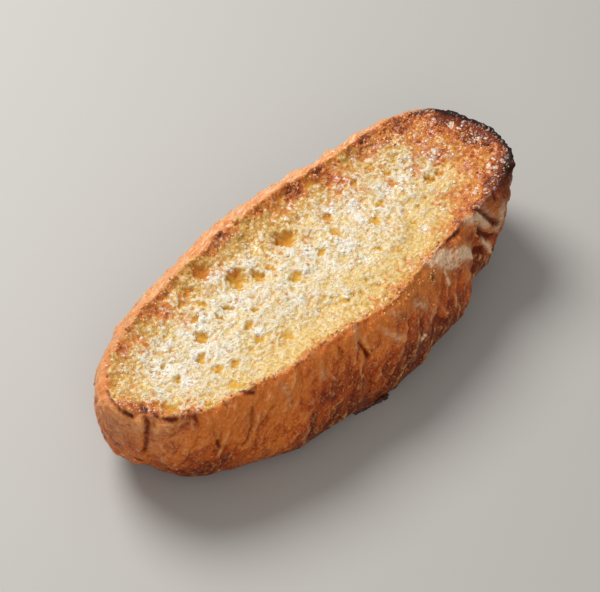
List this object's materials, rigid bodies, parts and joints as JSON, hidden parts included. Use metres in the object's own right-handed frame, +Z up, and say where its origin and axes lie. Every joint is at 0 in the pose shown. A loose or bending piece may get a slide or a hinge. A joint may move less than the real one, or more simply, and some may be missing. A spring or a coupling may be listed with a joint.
{
  "type": "french toast",
  "caption": "Half of a short soft loaf, split lengthwise, egg-soaked and toasted, lying on its flat bottom with the sugared cut face up; food to set out or pick up.",
  "frame": {"origin": "centre of the bounding box's bottom, on the flat bottom of the crust that the toast rests on", "axes": "+X along the loaf to the end that browned most, +Y to the side whose rim browned most, +Z up out of the cut face"},
  "size_m": [0.205, 0.0968, 0.0441],
  "materials": {
    "toasted_bread": "satin egg-soaked crumb, pale yellow in the middle and brown at the rim, in an orange-brown crust",
    "powdered_sugar": "fine white grains in small clumps"
  },
  "bodies": {
    "root": {"toast": "toasted_bread"}
  },
  "joints": []
}
